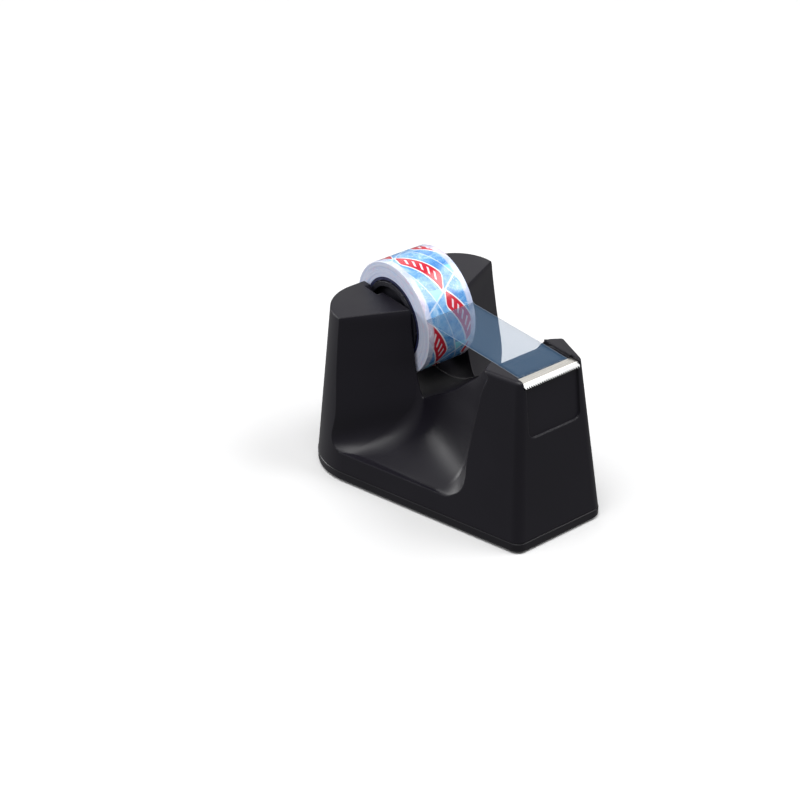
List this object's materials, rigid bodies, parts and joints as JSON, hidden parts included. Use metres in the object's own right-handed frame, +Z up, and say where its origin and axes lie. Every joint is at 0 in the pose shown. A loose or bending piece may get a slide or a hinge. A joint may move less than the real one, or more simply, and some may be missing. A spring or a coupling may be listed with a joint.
{
  "type": "tape dispenser",
  "caption": "Weighted desk tape dispenser: wedge housing with scooped sides and open slot, toothed cutter blade, lift-out hub carrying a roll of clear tape.",
  "frame": {"origin": "on the desk, under the middle of the footprint", "axes": "+X towards the cutter blade, +Y across the roll, +Z up; symmetric about y = 0 apart from the hub's joining pegs"},
  "size_m": [0.0926, 0.074, 0.0681],
  "materials": {
    "housing_plastic": "satin, fine grain",
    "base_plastic": "satin",
    "ballast_iron": "rough cast",
    "foot_rubber": "matt",
    "screw_steel": "zinc plated",
    "blade_steel": "satin strip with bright teeth",
    "hub_plastic": "satin",
    "core_plastic": "dark indigo, satin",
    "roll_film": "wound clear film, printed wrapper turn outside",
    "end_film": "clear film"
  },
  "bodies": {
    "stand": {"housing": "housing_plastic", "base_plate": "base_plastic", "ballast": "ballast_iron", "anti_slip_feet": "foot_rubber", "base_screws": "screw_steel", "cutter_blade": "blade_steel"},
    "carrier": {"axle": "hub_plastic", "tape_end": "end_film"},
    "reel": {"hub_left": "hub_plastic", "hub_right": "hub_plastic", "tape_core": "core_plastic", "tape_roll": "roll_film"}
  },
  "joints": [
    {"name": "lift_out", "type": "slide", "parent": "stand", "child": "carrier", "axis": [-0.6691, 0, 0.7431], "range_m": [0, 0.045]},
    {"name": "roll_spin", "type": "hinge", "parent": "carrier", "child": "reel", "pos_m": [-0.027, 0, 0.049], "axis": [0, 1, 0], "continuous": true}
  ]
}
